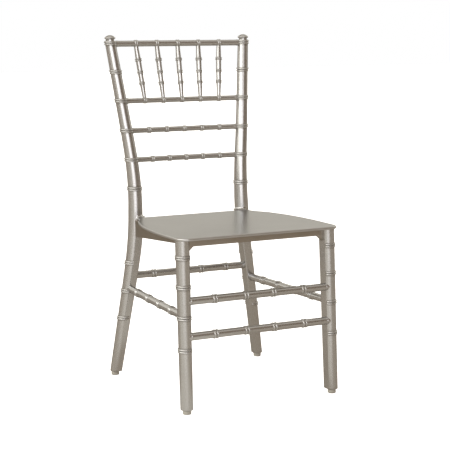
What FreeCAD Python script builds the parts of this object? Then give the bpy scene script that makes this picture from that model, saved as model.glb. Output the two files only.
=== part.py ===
import FreeCAD, Part
import os
from FreeCAD import Vector

# A ballroom chair with bamboo-style turning, in millimetres. It faces -Y and stands on Z = 0.
# Left and right are those of someone facing the chair, so left is the -X side.
# Depths are given from the centres of the front feet towards the back, and are moved at the end
# so that the origin lies on the floor under the middle of the whole chair.

# Heights of the main levels
overall_height = 914.0
seat_height = 431.8
seat_thickness = 7.6
glide_height = 11.0
finial_height = 16.5

# Rear posts: one bent piece from the floor to the finial, on a knee at seat level
rear_foot_x = 218.0
rear_foot_y = 434.0
knee_x = 149.5
knee_y = 399.3
knee_z = 460.0
post_head_x = 198.4
post_head_y = 472.9
knee_run_x = 145.0
knee_run_y = 230.0
rear_foot_d = 31.0
rear_waist_d = 38.4
rear_waist_z = 445.0
rear_shoulder_d = 33.0
rear_shoulder_z = 612.0
post_head_d = 28.4

# Front legs: straight tapered pieces under the seat, raked a little forward
front_foot_x = 204.5
front_top_x = 202.0
front_top_y = 20.7
front_foot_d = 31.5
front_top_d = 35.1

# Legs under the seat are round outside and flat towards the inside of the chair,
# given as shares of the radius: how far in the flat lies, where its corner is at the top and at the
# foot, and how far the squared part runs past the leg's centre, outwards and away from the corner
flat_share = 0.82
corner_share_top = 1.20
front_corner_share_foot = 1.20
rear_corner_share_foot = 0.95
outer_share = 0.25
far_share = 0.5
corner_round = 3.0

# Turned double beads that stand for the knuckles of bamboo
leg_bead_length = 5.2
leg_bead_pitch = 5.5
leg_bead_stand = 2.5
bead_ledge = 0.8
bead_sections = 5
front_ring_z = (382.0, 311.0, 236.0, 157.0)
rear_ring_z = (309.0, 233.0, 159.0)

# Rails of the back: heights of their rings on the posts, how far the rods lie below them, and the rods
top_rail_z = 891.0
spindle_rail_z = 739.7
upper_rung_z = 661.0
lower_rung_z = 583.8
rail_drop = 1.5
top_rail_d = 16.0
rung_d = 14.0
back_bow = 6.0
rail_bead_length = 5.0
rail_bead_pitch = 5.2
rail_bead_stand = 1.7
rail_bead_ledge = 0.3
fan_share_top = 0.627
fan_share_low = 0.612
fan_steps = 2

# Spindles between the two upper rails
spindle_head_d = 11.0
spindle_body_d = 14.2
spindle_low_d = 13.4
spindle_foot_d = 9.4
spindle_knuckles = (0.287, 0.507, 0.70)
spindle_bead_length = 3.8
spindle_bead_pitch = 4.2
spindle_bead_stand = 2.1
spindle_pin_d = 5.0
spindle_pin_length = 3.6

# Stretchers between the legs
stretcher_d = 19.2
front_upper_z = 276.2
front_lower_z = 189.6
rear_stretcher_z = 272.5
side_stretcher_z = 238.5
front_stretcher_lead = 6.0
stretcher_bead_length = 6.0
stretcher_bead_pitch = 7.8
stretcher_bead_stand = 1.8
stretcher_knuckle_shares = (0.61, 0.19)
side_knuckle_count = 4

# Seat plate: half widths at given depths, and its overhangs
seat_front_overhang = 10.0
seat_rear_edge = 408.5
seat_corner_radius = 30.0
seat_front_half = 223.5
seat_side_points = ((224.5, 90.0), (223.5, 145.0), (219.5, 190.0), (213.0, 240.0), (203.5, 280.0),
                    (187.0, 328.0), (170.0, 362.0))
seat_rear_half = 148.0
seat_edge_round = 3.3

# Seat frame under the plate
apron_thickness = 12.0
front_apron_drop = 18.0
front_apron_inset = 29.4
rear_apron_drop = 33.7
rear_apron_gap = 1.5
side_apron_drop_rear = 46.5
side_apron_drop_front = 9.4
gusset_width = 14.7
gusset_drop = 13.5

# Joints: round tenons on the rods, flat tenons on the aprons, pegs on the finials and glides
rail_tenon_d = 9.0
rung_tenon_d = 8.0
stretcher_tenon_d = 11.0
tenon_stop = 2.0
mortise_spare = 1.0
fit_gap = 0.15
apron_tenon_thickness = 6.0
apron_tenon_depth = 10.0
apron_tenon_margin = 2.0
finial_peg_d = 12.0
finial_peg_length = 14.0
peg_wall = 2.0
plate_gap = 0.3

# Finials: a domed cap on a short neck
cap_d = 29.0
cap_edge_drop = 9.0
cap_tuck = 3.6
cap_tuck_hollow = 0.9
neck_d = 22.0

# Glides and screws
glide_d = 21.0
glide_neck_d = 16.0
glide_neck_height = 2.0
glide_chamfer = 1.5
glide_stem_d = 8.0
glide_stem_length = 16.0
screw_d = 3.5
screw_head_d = 6.4
screw_head_height = 2.2
screw_bite = 3.5
socket_d = 2.6
socket_depth = 1.4
gusset_screw_share = 0.4
rear_screw_share = 0.6

# How finely the legs are drawn: outlines below and above the seat
low_sections = 5
high_sections = 9

post_head_z = overall_height - finial_height
plate_underside = seat_height - seat_thickness
quarter_sag = 1 - 0.5 ** 0.5
level_edge = 0.1
up = Vector(0, 0, 1)


def knee_curve(z, foot, knee, head, run):
    """Offset at height z of two straight lines meeting at the knee, rounded by a parabola."""
    low = (knee - foot) / knee_z
    high = (head - knee) / (post_head_z - knee_z)
    rise = z - knee_z
    straight = knee + (low if rise < 0 else high) * rise
    inside = max(run - abs(rise), 0.0)
    return straight + (high - low) * inside ** 2 / (4 * run)


def between(z, low, high):
    """Straight interpolation between two (height, value) pairs."""
    return low[1] + (high[1] - low[1]) * (z - low[0]) / (high[0] - low[0])


def rear_axis(z):
    """Centre of the right rear post at height z."""
    x = knee_curve(z, rear_foot_x, knee_x, post_head_x, knee_run_x)
    y = knee_curve(z, rear_foot_y, knee_y, post_head_y, knee_run_y)
    return Vector(x, y, z)


def rear_radius(z):
    """Radius of the rear post, thickest at the waist beside the seat."""
    if z <= rear_waist_z:
        return between(z, (0, rear_foot_d), (rear_waist_z, rear_waist_d)) / 2
    if z <= rear_shoulder_z:
        return between(z, (rear_waist_z, rear_waist_d), (rear_shoulder_z, rear_shoulder_d)) / 2
    return between(z, (rear_shoulder_z, rear_shoulder_d), (post_head_z, post_head_d)) / 2


def front_axis(z):
    """Centre of the right front leg at height z."""
    x = between(z, (0, front_foot_x), (plate_underside, front_top_x))
    y = between(z, (0, 0), (plate_underside, front_top_y))
    return Vector(x, y, z)


def front_radius(z):
    """Radius of the front leg."""
    return between(z, (0, front_foot_d), (plate_underside, front_top_d)) / 2


def levels(low, high, count):
    """Evenly spaced heights from low to high, both included."""
    return [low + (high - low) * i / (count - 1) for i in range(count)]


def disc(centre, radius, axis=up):
    """Circular wire."""
    return Part.Wire([Part.makeCircle(radius, centre, axis)])


def round_loft(axis, radius, heights, extra=0.0):
    """Smooth solid through level circles on a leg's axis."""
    wires = [disc(axis(z), radius(z) + extra) for z in heights]
    return Part.makeLoft(wires, True, False)


def pad_wire(axis, radius, foot_share, inward, z):
    """Outline of the squared inner part of a leg: inward is +1 where the seat lies at greater Y."""
    c = axis(z)
    r = radius(z)
    corner_share = between(z, (0, foot_share), (plate_underside, corner_share_top))
    flat = c.x - flat_share * r
    outer = c.x + outer_share * r
    back = c.y + inward * corner_share * r
    front = c.y - inward * far_share * r
    arc_mid = corner_round * quarter_sag
    a = Vector(outer, front, z)
    b = Vector(outer, back, z)
    p = Vector(flat + corner_round, back, z)
    m = Vector(flat + arc_mid, back - inward * arc_mid, z)
    q = Vector(flat, back - inward * corner_round, z)
    d = Vector(flat, front, z)
    edges = [Part.makeLine(a, b), Part.makeLine(b, p), Part.Arc(p, m, q).toShape()]
    edges += [Part.makeLine(q, d), Part.makeLine(d, a)]
    return Part.Wire(edges)


def waste_wire(axis, radius, z):
    """Outline of what is planed off the inner side of a leg to leave it flat."""
    c = axis(z)
    r = radius(z)
    flat = c.x - flat_share * r
    reach = 2 * r
    corners = [(flat, -reach), (flat, reach), (flat - reach, reach), (flat - reach, -reach)]
    points = [Vector(x, c.y + y, z) for x, y in corners]
    return Part.makePolygon(points + points[:1])


def ruled(wires):
    """Solid with straight sides through a row of wires."""
    return Part.makeLoft(wires, True, True)


def bead_disc(centre, radius, length, stand, ledge, axis=up):
    """Disc with a rounded rim: one turned bead standing out of a rod of the given radius."""
    half = length / 2
    foot = Vector(radius + ledge, 0, -half)
    crest = Vector(radius + stand, 0, 0)
    head = Vector(radius + ledge, 0, half)
    edges = [Part.makeLine(Vector(0, 0, -half), foot), Part.Arc(foot, crest, head).toShape()]
    edges += [Part.makeLine(head, Vector(0, 0, half)),
              Part.makeLine(Vector(0, 0, half), Vector(0, 0, -half))]
    return placed(Part.Face(Part.Wire(edges)).revolve(Vector(0, 0, 0), up, 360), centre, axis)


def placed(shape, foot, axis):
    """Shape turned so that its own Z runs along axis, and moved to foot."""
    shape.Placement = FreeCAD.Placement(foot, FreeCAD.Rotation(up, axis))
    return shape


def leg_bead(axis, radius, middle):
    """One rounded bead of a leg: level circles that follow the leg's lean, widest in the middle."""
    wires = []
    for z in levels(middle - leg_bead_length / 2, middle + leg_bead_length / 2, bead_sections):
        bulge = 1 - (2 * (z - middle) / leg_bead_length) ** 2
        stand = bead_ledge + (leg_bead_stand - bead_ledge) * bulge
        wires.append(disc(axis(z), radius(z) + stand))
    return Part.makeLoft(wires, True, False)


def leg_rings(axis, radius, heights):
    """Double beads of a leg at the given heights, level like the floor."""
    discs = []
    for z in heights:
        for side in (-1, 1):
            discs.append(leg_bead(axis, radius, z + side * leg_bead_pitch / 2))
    return discs


def mirrored(shape):
    """The same piece on the other side of the chair."""
    return shape.mirror(Vector(0, 0, 0), Vector(1, 0, 0))


def only_solid(shape):
    """The largest solid of a boolean result."""
    return max(shape.Solids, key=lambda s: s.Volume)


def post_ring_heights():
    """Heights of a post's upper rings: at each rail, between the top two, and one below them all."""
    middle = (top_rail_z + spindle_rail_z) / 2
    lowest = 2 * lower_rung_z - upper_rung_z
    return [top_rail_z, middle, spindle_rail_z, upper_rung_z, lower_rung_z, lowest]


def rear_post_body(extra=0.0):
    """Round part of the right rear post over its whole height."""
    low = levels(glide_height, plate_underside, low_sections)
    high = levels(plate_underside, post_head_z, high_sections)[1:]
    return round_loft(rear_axis, rear_radius, low + high, extra)


def leg_waste(axis, radius, heights):
    """What is planed off the inner side of a leg."""
    return ruled([waste_wire(axis, radius, z) for z in heights])


def rear_post_core():
    """Right rear post without its rings, squared towards the inside below the seat."""
    heights = levels(glide_height, plate_underside, low_sections)
    pad = ruled([pad_wire(rear_axis, rear_radius, rear_corner_share_foot, -1, z) for z in heights])
    return rear_post_body().fuse(pad).cut(leg_waste(rear_axis, rear_radius, heights))


def front_leg_core():
    """Right front leg without its rings."""
    heights = [glide_height, plate_underside]
    pad = ruled([pad_wire(front_axis, front_radius, front_corner_share_foot, 1, z) for z in heights])
    body = round_loft(front_axis, front_radius, heights)
    return body.fuse(pad).cut(leg_waste(front_axis, front_radius, heights))


def ringed(core, axis, radius, full, planed):
    """Leg with its rings: full ones all round, planed ones only on the round outside."""
    waste = leg_waste(axis, radius, levels(glide_height, plate_underside, low_sections))
    cut_rings = [ring.cut(waste) for ring in leg_rings(axis, radius, planed)]
    return core.fuse(cut_rings + leg_rings(axis, radius, full))


def cylinder_between(a, b, d):
    """Round bar of diameter d from point a to point b."""
    along = b - a
    return Part.makeCylinder(d / 2, along.Length, a, along)


def tenon_bar(a, b, d, stop):
    """Bar that forms both end tenons of a rod, stopping short of the hosts' centres."""
    along = (b - a).normalize()
    return cylinder_between(a + along * stop, b - along * stop, d)


def mortise_bar(a, b, d, stop):
    """What a rod's tenons and their clearances take out of its hosts."""
    return tenon_bar(a, b, d + 2 * fit_gap, stop - mortise_spare)


def turned(a, b, stations, knuckles, length, pitch, stand):
    """Rod turned from point a to point b: (share, diameter) stations and double beads at shares."""
    span = (b - a).Length
    marks = [(share * span, d / 2) for share, d in stations]

    def radius(s):
        for low, high in zip(marks, marks[1:]):
            if s <= high[0]:
                return between(s, low, high)
        return marks[-1][1]

    edges = []
    here = Vector(radius(0), 0, 0)
    edges.append(Part.makeLine(Vector(0, 0, 0), here))
    stops = [("mark", s) for s, r in marks[1:]]
    stops += [("bead", share * span + side * pitch / 2) for share in knuckles for side in (-1, 1)]
    for kind, s in sorted(stops, key=lambda stop: stop[1]):
        if kind == "mark":
            there = Vector(radius(s), 0, s)
            edges.append(Part.makeLine(here, there))
        else:
            foot = Vector(radius(s - length / 2), 0, s - length / 2)
            there = Vector(radius(s + length / 2), 0, s + length / 2)
            edges.append(Part.makeLine(here, foot))
            edges.append(Part.Arc(foot, Vector(radius(s) + stand, 0, s), there).toShape())
        here = there
    edges.append(Part.makeLine(here, Vector(0, 0, span)))
    edges.append(Part.makeLine(Vector(0, 0, span), Vector(0, 0, 0)))
    whole = Part.Face(Part.Wire(edges)).revolve(Vector(0, 0, 0), up, 360)
    return placed(whole, a, b - a)


def stretcher(a, b, knuckles, hosts):
    """Straight beaded rod coped against its hosts, with a round tenon at each end."""
    stations = ((0, stretcher_d), (1, stretcher_d))
    body = turned(a, b, stations, knuckles, stretcher_bead_length, stretcher_bead_pitch,
                  stretcher_bead_stand)
    body = only_solid(body.cut(hosts))
    return only_solid(body.fuse(tenon_bar(a, b, stretcher_tenon_d, tenon_stop)).removeSplitter())


def cross_knuckles():
    """Knuckle places of a stretcher across the chair, as shares of the way between leg centres."""
    return [0.5 + side * share / 2 for share in stretcher_knuckle_shares for side in (-1, 1)]


def bowed_point(x, z):
    """Point of a back rail at X, on a shallow arc between the posts."""
    half = rear_axis(z).x
    return Vector(x, rear_axis(z).y + back_bow * (1 - (x / half) ** 2), z)


def fan_positions(z, share):
    """X places of the knuckles of a back rail, which fan out with the posts."""
    step = share * rear_axis(z).x / fan_steps
    return [step * i for i in range(-fan_steps, fan_steps + 1)]


def back_rail(ring_z, d, share, tenon_d, stop):
    """Bowed rail of the back with its knuckles, coped against the posts and their rings."""
    z = ring_z - rail_drop
    half = rear_axis(z).x
    left = Vector(-half, rear_axis(z).y, z)
    right = Vector(half, rear_axis(z).y, z)
    arc = Part.Arc(left, bowed_point(0, z), right).toShape()
    start = arc.tangentAt(arc.FirstParameter)
    body = Part.Wire([arc]).makePipe(Part.Face(disc(left, d / 2, start)))
    beads = []
    for x in fan_positions(z, share):
        slope = Vector(half, -2 * back_bow * x / half, 0).normalize()
        for side in (-1, 1):
            here = bowed_point(x, z) + slope * (side * rail_bead_pitch / 2)
            beads.append(bead_disc(here, d / 2, rail_bead_length, rail_bead_stand,
                                   rail_bead_ledge, slope))
    host = [rear_post_body()] + leg_rings(rear_axis, rear_radius, [ring_z])
    hosts = host + [mirrored(piece) for piece in host]
    body = only_solid(body.fuse(beads).cut(hosts))
    ends = [tenon_bar(left, right, tenon_d, stop).common(box) for box in end_boxes(z)]
    return only_solid(body.fuse(ends).removeSplitter())


def end_boxes(z):
    """Boxes that hold only the ends of a back rail, where its tenons are."""
    half = rear_axis(z).x
    depth = rear_radius(z) + leg_bead_stand + rail_tenon_d
    lows = [Vector(-half, 0, z - depth), Vector(half - depth, 0, z - depth)]
    return [Part.makeBox(depth, 2 * rear_foot_y, 2 * depth, low) for low in lows]


def spindle_ends(step):
    """Centre points in the two rails that carry a spindle, counted from the middle."""
    z_low = spindle_rail_z - rail_drop
    z_high = top_rail_z - rail_drop
    x_low = fan_positions(z_low, fan_share_low)[step + fan_steps]
    x_high = fan_positions(z_high, fan_share_top)[step + fan_steps]
    return bowed_point(x_low, z_low), bowed_point(x_high, z_high)


def spindle_pin(step):
    """Pin running through a spindle and into both rails."""
    low, high = spindle_ends(step)
    along = (high - low).normalize()
    start = rung_d / 2 + rail_bead_stand - spindle_pin_length
    end = top_rail_d / 2 + rail_bead_stand - spindle_pin_length
    return low + along * start, high - along * end


def spindle(step, carriers):
    """Turned spindle, thin at both ends, with three double beads and a pin at each end."""
    low, high = spindle_ends(step)
    low_knuckle = 1 - spindle_knuckles[2]
    high_knuckle = 1 - spindle_knuckles[0]
    stations = ((0, spindle_foot_d), (low_knuckle, spindle_low_d),
                (high_knuckle, spindle_body_d), (1, spindle_head_d))
    body = turned(low, high, stations, [1 - share for share in spindle_knuckles],
                  spindle_bead_length, spindle_bead_pitch, spindle_bead_stand)
    body = only_solid(body.cut(carriers))
    pin_low, pin_high = spindle_pin(step)
    return body.fuse(cylinder_between(pin_low, pin_high, spindle_pin_d)).removeSplitter()


def spindle_holes():
    """Holes for the spindles' pins in both rails."""
    holes = []
    for step in range(-fan_steps, fan_steps + 1):
        low, high = spindle_pin(step)
        along = (high - low).normalize() * mortise_spare
        holes.append(cylinder_between(low - along, high + along, spindle_pin_d + 2 * fit_gap))
    return holes


def revolved(points, centre):
    """Solid of revolution about the vertical line through centre, from (radius, height) points."""
    outline = Part.makePolygon([centre + Vector(r, 0, h) for r, h in points + points[:1]])
    return Part.Face(outline).revolve(centre, up, 360)


def finial():
    """Right finial: neck, domed cap and a peg below, turned about an upright line."""
    edge = finial_height - cap_edge_drop
    neck = neck_d / 2
    rim = cap_d / 2
    sphere = (rim ** 2 + cap_edge_drop ** 2) / (2 * cap_edge_drop)
    middle = Vector(0, 0, finial_height - sphere)
    crown = Vector(0, 0, finial_height)
    rim_point = Vector(rim, 0, edge)
    shoulder = middle + ((crown + rim_point) * 0.5 - middle).normalize() * sphere
    tuck_point = Vector(neck, 0, edge - cap_tuck)
    tuck_middle = Vector(rim - cap_tuck_hollow, 0, edge - cap_tuck / 2)
    floor = Vector(0, 0, 0)
    foot = Vector(neck, 0, 0)
    edges = [Part.makeLine(floor, foot), Part.makeLine(foot, tuck_point)]
    edges += [Part.Arc(tuck_point, tuck_middle, rim_point).toShape()]
    edges += [Part.Arc(rim_point, shoulder, crown).toShape(), Part.makeLine(crown, floor)]
    body = Part.Face(Part.Wire(edges)).revolve(floor, up, 360)
    peg = Part.makeCylinder(finial_peg_d / 2, finial_peg_length, Vector(0, 0, -finial_peg_length), up)
    whole = body.fuse(peg)
    whole.translate(rear_axis(post_head_z))
    return only_solid(whole)


def finial_hole():
    """Hole in the post's head for the finial's peg."""
    depth = finial_peg_length + mortise_spare
    return Part.makeCylinder(finial_peg_d / 2 + fit_gap, depth,
                             rear_axis(post_head_z) - up * depth, up)


def glide(axis):
    """Foot glide: a chamfered pad, a narrow neck, and a stem pushed into the leg."""
    centre = axis(0)
    pad_top = glide_height - glide_neck_height
    stem_top = glide_height + glide_stem_length
    r = glide_d / 2
    points = [(0, 0), (r - glide_chamfer, 0), (r, glide_chamfer), (r, pad_top - glide_chamfer)]
    points += [(r - glide_chamfer, pad_top), (glide_neck_d / 2, pad_top)]
    points += [(glide_neck_d / 2, glide_height), (glide_stem_d / 2, glide_height)]
    points += [(glide_stem_d / 2, stem_top), (0, stem_top)]
    return revolved(points, centre)


def glide_hole(axis):
    """Hole in the foot of a leg for the glide's stem."""
    depth = glide_height + glide_stem_length + mortise_spare
    return Part.makeCylinder(glide_stem_d / 2 + fit_gap, depth, axis(0), up)


def seat_outline():
    """Half outline of the seat's right side, mirrored into a closed wire at the underside."""
    z = plate_underside
    front = -seat_front_overhang
    r = seat_corner_radius
    turn = r * quarter_sag
    corner_in = Vector(seat_front_half - r, front, z)
    corner_mid = Vector(seat_front_half - turn, front + turn, z)
    corner_out = Vector(seat_front_half, front + r, z)
    side = Part.BSplineCurve()
    points = [corner_out] + [Vector(x, y, z) for x, y in seat_side_points]
    points.append(Vector(seat_rear_half, seat_rear_edge, z))
    side.interpolate(Points=points, InitialTangent=Vector(0, 1, 0), FinalTangent=Vector(-1, 0, 0))
    right = [Part.Arc(corner_in, corner_mid, corner_out).toShape(), side.toShape()]
    left = [mirrored(edge) for edge in right]
    front_line = Part.makeLine(Vector(-corner_in.x, front, z), corner_in)
    rear_line = Part.makeLine(points[-1], Vector(-seat_rear_half, seat_rear_edge, z))
    return Part.Wire(Part.__sortEdges__(right + left + [front_line, rear_line]))


def seat_plate(posts):
    """Solid seat with rounded edges, notched around the rear posts."""
    plate = Part.Face(seat_outline()).extrude(Vector(0, 0, seat_thickness))
    rims = [e for e in plate.Edges if e.BoundBox.ZLength < level_edge]
    plate = plate.makeFillet(seat_edge_round, rims)
    return only_solid(plate.cut(posts))


def bar_along(a, b, thickness, low_a, low_b, top, reach=0.0):
    """Upright board between two points, with a lower edge that may slope."""
    along = (b - a).normalize()
    across = along.cross(up).normalize() * thickness
    start = a - along * reach - across * 0.5
    end = b + along * reach - across * 0.5
    corners = [(start, low_a), (end, low_b), (end, top), (start, top)]
    points = [Vector(p.x, p.y, z) for p, z in corners]
    return Part.Face(Part.makePolygon(points + points[:1])).extrude(across)


def apron(a, b, low_a, low_b, hosts):
    """Board of the seat frame coped against its hosts, with a thinner tenon at each end."""
    board = bar_along(a, b, apron_thickness, low_a, low_b, plate_underside)
    board = only_solid(board.cut(hosts))
    return only_solid(board.fuse(apron_tenon(a, b, low_a, low_b, 0.0)).removeSplitter())


def apron_tenon(a, b, low_a, low_b, gap):
    """Tenons of a board, or with a gap the mortises that take them."""
    margin = apron_tenon_margin - gap
    along = (b - a).normalize()
    inset = rear_radius(plate_underside) - apron_tenon_depth - gap
    top = plate_underside - margin
    bar = bar_along(a + along * inset, b - along * inset, apron_tenon_thickness + 2 * gap,
                    low_a + margin, low_b + margin, top)
    return bar


def socket_screw(head, direction_length):
    """Screw pointing up from its head, with a round driver socket."""
    top = head.z + direction_length
    body = Part.makeCylinder(screw_d / 2, top - head.z, head, up)
    cap = Part.makeCylinder(screw_head_d / 2, screw_head_height, head, up)
    socket = Part.makeCylinder(socket_d / 2, socket_depth, head, up)
    return cap.fuse(body).cut(socket)


def gusset_block(leg):
    """Right front corner gusset, a three-sided block under the apron against the leg."""
    top = plate_underside - front_apron_drop
    face_x = front_axis(top).x - flat_share * front_radius(top)
    y0 = front_apron_y() - apron_thickness / 2
    reach = front_radius(top)
    corners = [(face_x + reach, top), (face_x - gusset_width, top), (face_x, top - gusset_drop),
               (face_x + reach, top - gusset_drop)]
    points = [Vector(x, y0, z) for x, z in corners]
    block = Part.Face(Part.makePolygon(points + points[:1])).extrude(Vector(0, apron_thickness, 0))
    return only_solid(block.cut(leg))


def front_apron_y():
    """Depth of the front apron's centre line."""
    return front_apron_inset - seat_front_overhang + apron_thickness / 2


def rear_apron_y():
    """Depth of the rear apron's centre line."""
    return seat_rear_edge - rear_apron_gap - apron_thickness / 2


def screw_places():
    """Heads of the right-hand seat screws: one under the gusset, one under the rear apron."""
    gusset_x = front_axis(plate_underside).x - flat_share * front_radius(plate_underside)
    gusset_x -= gusset_width * gusset_screw_share
    gusset_z = plate_underside - front_apron_drop - screw_head_height
    rear_x = rear_axis(plate_underside).x * rear_screw_share
    rear_z = plate_underside - rear_apron_drop
    return [Vector(gusset_x, front_apron_y(), gusset_z), Vector(rear_x, rear_apron_y(), rear_z)]


rear_core = rear_post_core()
front_core = front_leg_core()
posts = [rear_core, mirrored(rear_core)]
legs = [front_core, mirrored(front_core)]
parts = {}

# Back rails and spindles
top_stop = finial_peg_d / 2 + peg_wall
rail_sizes = {
    "top_rail": (top_rail_z, top_rail_d, fan_share_top, rail_tenon_d, top_stop),
    "spindle_rail": (spindle_rail_z, rung_d, fan_share_low, rung_tenon_d, tenon_stop),
    "ladder_rung_upper": (upper_rung_z, rung_d, fan_share_low, rung_tenon_d, tenon_stop),
    "ladder_rung_lower": (lower_rung_z, rung_d, fan_share_low, rung_tenon_d, tenon_stop),
}
rails = {name: back_rail(*sizes) for name, sizes in rail_sizes.items()}
carriers = [rails["top_rail"], rails["spindle_rail"]]
for step in range(-fan_steps, fan_steps + 1):
    parts["spindle_%d" % (step + fan_steps + 1)] = spindle(step, carriers)
for name in ("top_rail", "spindle_rail"):
    rails[name] = rails[name].cut(spindle_holes())
parts.update(rails)

# What the rods take out of the posts and legs
post_cuts = [finial_hole(), glide_hole(rear_axis)]
leg_cuts = [glide_hole(front_axis)]
for ring_z, d, share, tenon, stop in rail_sizes.values():
    end = rear_axis(ring_z - rail_drop)
    post_cuts.append(mortise_bar(Vector(-end.x, end.y, end.z), end, tenon, stop))

# Stretchers across the chair
for name, z in (("front_stretcher_upper", front_upper_z), ("front_stretcher_lower", front_lower_z)):
    end = front_axis(z) - Vector(0, front_stretcher_lead, 0)
    start = Vector(-end.x, end.y, z)
    parts[name] = stretcher(start, end, cross_knuckles(), legs)
    leg_cuts.append(mortise_bar(start, end, stretcher_tenon_d, tenon_stop))
end = rear_axis(rear_stretcher_z)
start = Vector(-end.x, end.y, end.z)
parts["rear_stretcher"] = stretcher(start, end, cross_knuckles(), posts)
post_cuts.append(mortise_bar(start, end, stretcher_tenon_d, tenon_stop))

# Side stretchers, from the rear leg to the front leg
start = rear_axis(side_stretcher_z)
end = front_axis(side_stretcher_z)
places = [(i + 1) / (side_knuckle_count + 1) for i in range(side_knuckle_count)]
near_rings = [z for z in rear_ring_z if abs(z - side_stretcher_z) < stretcher_d]
side_hosts = [rear_core, front_core] + leg_rings(rear_axis, rear_radius, near_rings)
near_rings = [z for z in front_ring_z if abs(z - side_stretcher_z) < stretcher_d]
side_hosts += leg_rings(front_axis, front_radius, near_rings)
side_rod = stretcher(start, end, places, side_hosts)
parts["side_stretcher_right"] = side_rod
parts["side_stretcher_left"] = mirrored(side_rod)
post_cuts.append(mortise_bar(start, end, stretcher_tenon_d, tenon_stop))
leg_cuts.append(mortise_bar(start, end, stretcher_tenon_d, tenon_stop))

# Seat frame
front_end = Vector(front_axis(plate_underside).x, front_apron_y(), 0)
front_start = Vector(-front_end.x, front_end.y, 0)
front_low = plate_underside - front_apron_drop
parts["apron_front"] = apron(front_start, front_end, front_low, front_low, legs)
leg_cuts.append(apron_tenon(front_start, front_end, front_low, front_low, fit_gap))

rear_end = Vector(rear_axis(plate_underside).x, rear_apron_y(), 0)
rear_start = Vector(-rear_end.x, rear_end.y, 0)
rear_low = plate_underside - rear_apron_drop
parts["apron_rear"] = apron(rear_start, rear_end, rear_low, rear_low, posts)
post_cuts.append(apron_tenon(rear_start, rear_end, rear_low, rear_low, fit_gap))

side_start = Vector(rear_axis(plate_underside).x, rear_axis(plate_underside).y, 0)
side_end = Vector(front_axis(plate_underside).x, front_axis(plate_underside).y, 0)
side_lows = (plate_underside - side_apron_drop_rear, plate_underside - side_apron_drop_front)
side_apron = apron(side_start, side_end, *side_lows, [rear_core, front_core])
parts["apron_right"] = side_apron
parts["apron_left"] = mirrored(side_apron)
post_cuts.append(apron_tenon(side_start, side_end, *side_lows, fit_gap))
leg_cuts.append(apron_tenon(side_start, side_end, *side_lows, fit_gap))

# Seat plate, gussets and screws
wide_post = rear_post_body(plate_gap)
plate = seat_plate([wide_post, mirrored(wide_post)])
gusset = gusset_block(front_core)
screws = []
holes = []
for head in screw_places():
    length = plate_underside + screw_bite - head.z
    screw = socket_screw(head, length)
    bore = Part.makeCylinder(screw_d / 2 + fit_gap, length + mortise_spare, head, up)
    sink = Part.makeCylinder(screw_head_d / 2 + fit_gap, screw_head_height + gusset_drop,
                             head - up * gusset_drop, up)
    screws += [screw, mirrored(screw)]
    holes += [bore, mirrored(bore), sink, mirrored(sink)]
gusset = gusset.cut(holes)
parts["gusset_right"] = gusset
parts["gusset_left"] = mirrored(gusset)
parts["seat_plate"] = plate.cut(holes)
parts["apron_front"] = parts["apron_front"].cut(holes)
parts["apron_rear"] = parts["apron_rear"].cut(holes)
parts["seat_screws"] = Part.makeCompound(screws)

# Posts, legs, finials and glides
rear_post = ringed(rear_core, rear_axis, rear_radius, post_ring_heights(), rear_ring_z)
front_leg = ringed(front_core, front_axis, front_radius, [], front_ring_z)
parts["rear_post_right"] = rear_post.cut(post_cuts)
parts["rear_post_left"] = mirrored(parts["rear_post_right"])
parts["front_leg_right"] = front_leg.cut(leg_cuts)
parts["front_leg_left"] = mirrored(parts["front_leg_right"])
parts["finial_right"] = finial()
parts["finial_left"] = mirrored(parts["finial_right"])
for end_name, axis in (("front", front_axis), ("rear", rear_axis)):
    foot = glide(axis)
    parts["glide_%s_right" % end_name] = foot
    parts["glide_%s_left" % end_name] = mirrored(foot)

# The origin: on the floor, under the middle of the chair from its front feet to its top collars
foremost = front_axis(glide_height).y - front_radius(glide_height)
collar_z = top_rail_z + leg_bead_pitch / 2
rearmost = rear_axis(collar_z).y + rear_radius(collar_z) + leg_bead_stand
shift = Vector(0, -(foremost + rearmost) / 2, 0)

os.makedirs("parts", exist_ok=True)
for name, shape in parts.items():
    shape.translate(shift)
    shape.exportStep("parts/%s.step" % name)
    print(name, shape.isValid(), len(shape.Solids), round(shape.Volume / 1000, 2))
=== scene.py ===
# %% [markdown]
# # A ballroom chair with bamboo-style turning
# The real chair is a slim stacking chair with a silver-grey metallic coat. Its rods are shaped like
# turned bamboo: every joint carries a pair of thin beads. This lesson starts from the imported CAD
# model, which fixes every size, and gives each visible piece a finer surface and a real finish.
# All lengths are metres, and the chair stands on Z = 0 and faces -Y.

# %% Load the frame
import math

import bpy
import numpy as np
from mathutils import Matrix, Vector


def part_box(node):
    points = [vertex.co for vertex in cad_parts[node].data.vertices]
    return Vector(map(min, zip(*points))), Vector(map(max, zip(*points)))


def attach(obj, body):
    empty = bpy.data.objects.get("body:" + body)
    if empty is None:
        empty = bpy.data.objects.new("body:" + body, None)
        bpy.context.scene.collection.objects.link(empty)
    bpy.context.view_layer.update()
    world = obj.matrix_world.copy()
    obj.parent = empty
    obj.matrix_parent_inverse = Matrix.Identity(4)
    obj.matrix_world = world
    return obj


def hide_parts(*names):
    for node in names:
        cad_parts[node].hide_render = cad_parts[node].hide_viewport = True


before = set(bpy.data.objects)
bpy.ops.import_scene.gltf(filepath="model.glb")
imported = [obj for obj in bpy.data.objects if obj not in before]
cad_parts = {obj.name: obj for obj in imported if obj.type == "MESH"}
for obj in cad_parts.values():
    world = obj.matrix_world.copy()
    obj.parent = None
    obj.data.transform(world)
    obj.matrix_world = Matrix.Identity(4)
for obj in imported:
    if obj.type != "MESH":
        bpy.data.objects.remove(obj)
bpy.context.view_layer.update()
MM = 0.001

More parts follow.
